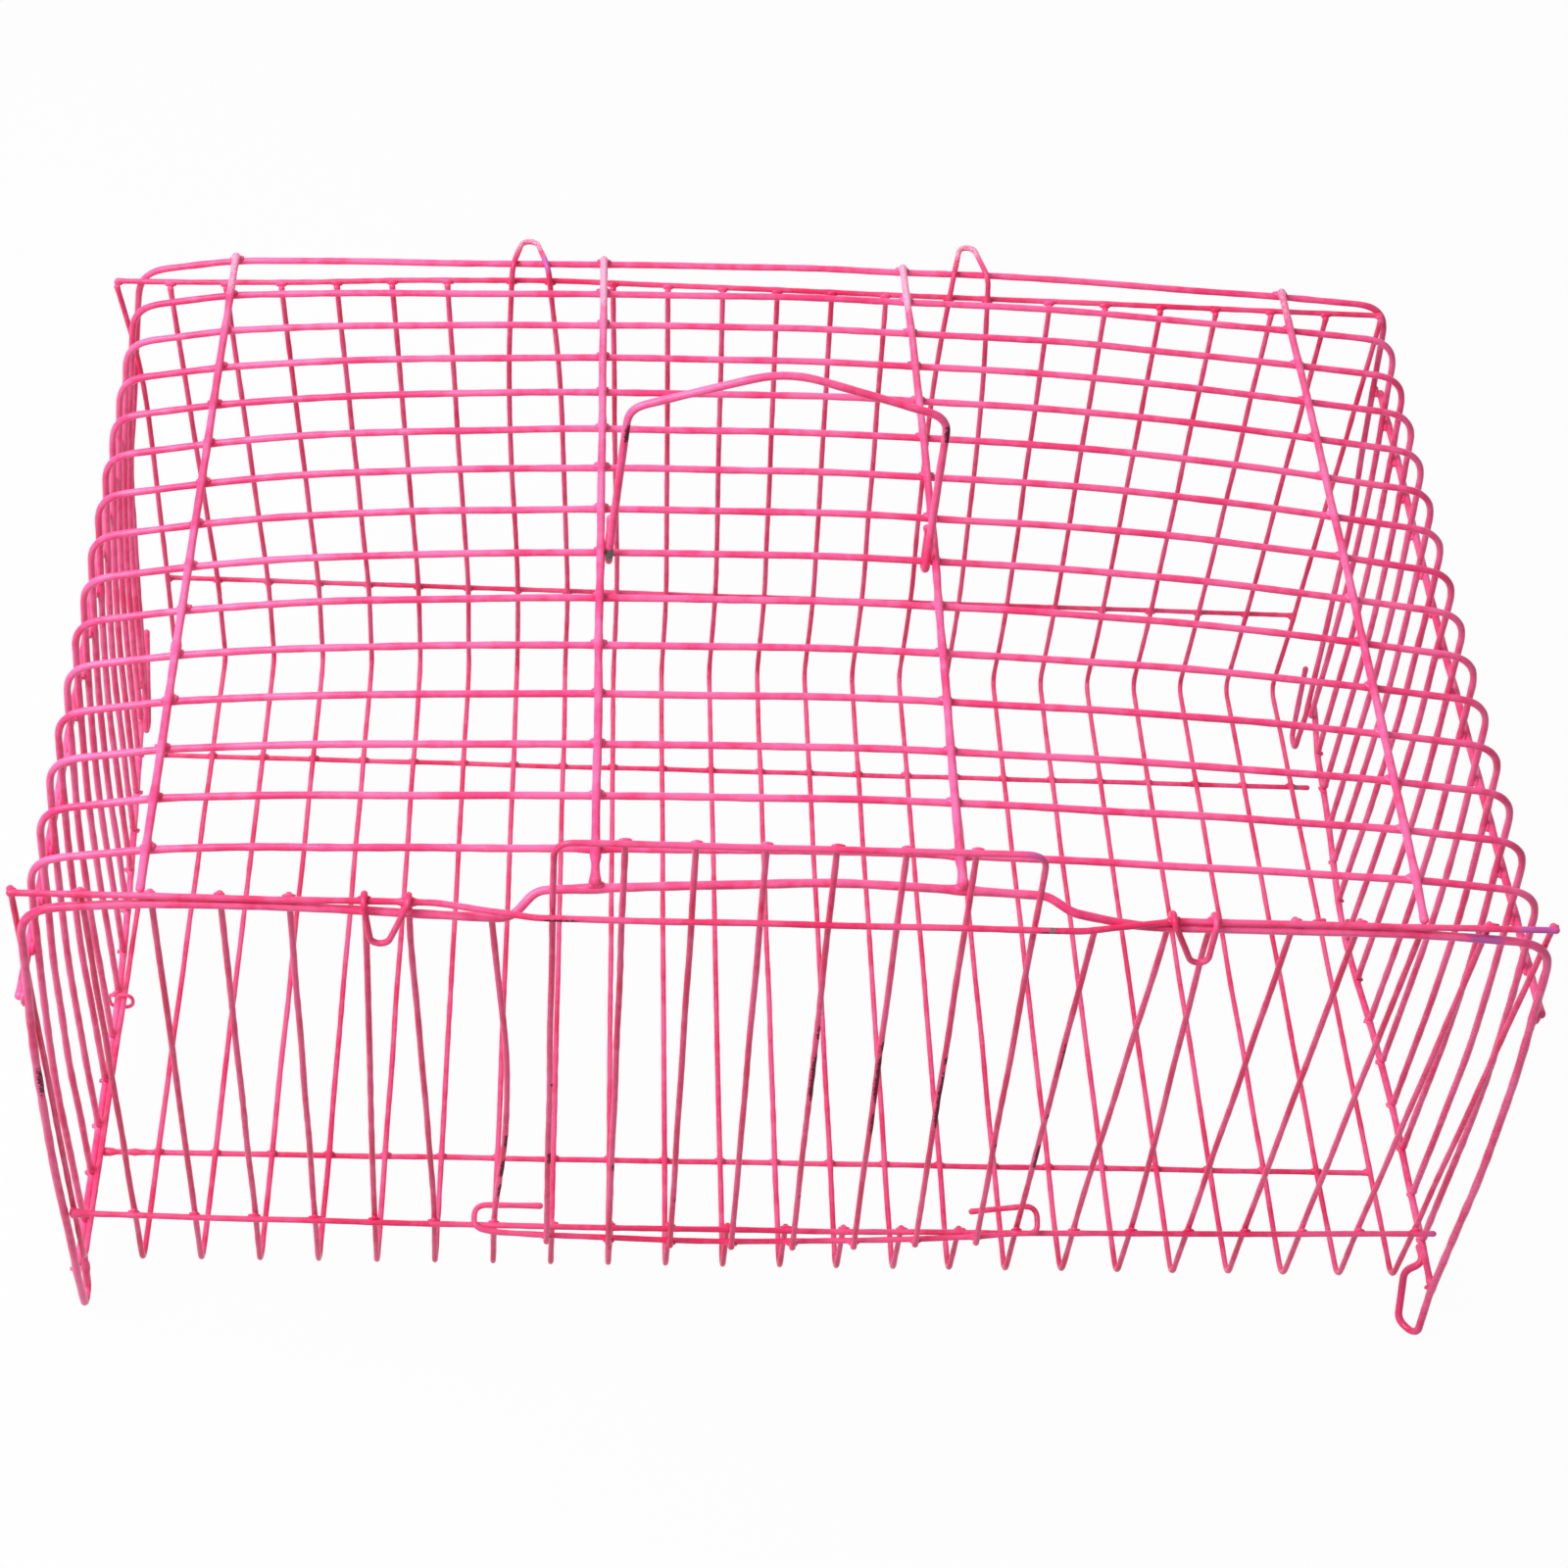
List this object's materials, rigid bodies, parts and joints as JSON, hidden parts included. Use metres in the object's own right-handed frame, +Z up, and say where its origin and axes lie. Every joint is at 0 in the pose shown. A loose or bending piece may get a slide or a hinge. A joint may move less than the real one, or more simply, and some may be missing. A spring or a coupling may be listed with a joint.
{
  "type": "portable bird cage",
  "caption": "Portable bird cage of coated wire: a bent-wire tray under a tied-on cover of hoops, with a front door that slides up and a folding carrying handle.",
  "frame": {"origin": "middle of the cage's bounding box, on the plane that its feet stand on", "axes": "+X along the cage's length towards the viewer's right, +Y from the door to the back, +Z up"},
  "size_m": [0.619, 0.392, 0.4033],
  "materials": {
    "tray_coat": "glossy pink dip coat",
    "cover_coat": "glossy pink dip coat",
    "door_coat": "glossy pink dip coat, worn",
    "handle_coat": "glossy pink dip coat",
    "ring_coat": "glossy pink dip coat"
  },
  "bodies": {
    "cage": {"tray_wire_01": "tray_coat", "tray_wire_02": "tray_coat", "tray_wire_03": "tray_coat", "tray_wire_04": "tray_coat", "tray_wire_05": "tray_coat", "tray_wire_06_07": "tray_coat", "tray_wire_08_09": "tray_coat", "tray_wire_10": "tray_coat", "tray_wire_11": "tray_coat", "tray_wire_12": "tray_coat", "tray_wire_13": "tray_coat", "tray_wire_14": "tray_coat", "tray_wire_15": "tray_coat", "tray_wire_16_17": "tray_coat", "tray_wire_18_19": "tray_coat", "tray_wire_20": "tray_coat", "tray_wire_21": "tray_coat", "tray_wire_22": "tray_coat", "tray_wire_23": "tray_coat", "tray_wire_24": "tray_coat", "front_lower_bar": "tray_coat", "front_top_bar": "tray_coat", "floor_bar_front": "tray_coat", "floor_bar_back": "tray_coat", "back_lower_bar": "tray_coat", "back_top_bar": "tray_coat", "cover_hoop_01": "cover_coat", "cover_hoop_02": "cover_coat", "cover_hoop_03": "cover_coat", "cover_hoop_04": "cover_coat", "cover_hoop_05": "cover_coat", "cover_hoop_06": "cover_coat", "cover_hoop_07": "cover_coat", "cover_hoop_08": "cover_coat", "cover_hoop_09": "cover_coat", "cover_hoop_10": "cover_coat", "cover_hoop_11": "cover_coat", "cover_hoop_12": "cover_coat", "cover_hoop_13": "cover_coat", "cover_hoop_14": "cover_coat", "cover_hoop_15": "cover_coat", "cover_hoop_16": "cover_coat", "top_rail_1": "cover_coat", "top_rail_2": "cover_coat", "top_rail_3": "cover_coat", "top_rail_4": "cover_coat", "side_rail_left": "cover_coat", "side_rail_right": "cover_coat", "bottom_rail_left": "cover_coat", "bottom_rail_right": "cover_coat", "hog_ring_left": "ring_coat", "hog_ring_right": "ring_coat"},
    "door": {"door_frame": "door_coat", "door_bar_1": "door_coat", "door_bar_2": "door_coat", "door_bar_3": "door_coat", "door_bar_4": "door_coat", "door_bar_5": "door_coat", "door_bar_6": "door_coat"},
    "handle": {"handle": "handle_coat"}
  },
  "joints": [
    {"name": "door_slide", "type": "slide", "parent": "cage", "child": "door", "axis": [0, 0.012, 0.9999], "range_m": [0, 0.2]},
    {"name": "handle_swing", "type": "hinge", "parent": "cage", "child": "handle", "pos_m": [-0.00943, -0.01616, 0.30612], "axis": [1, 0, 0.0091], "range_deg": [-85, 80]}
  ]
}
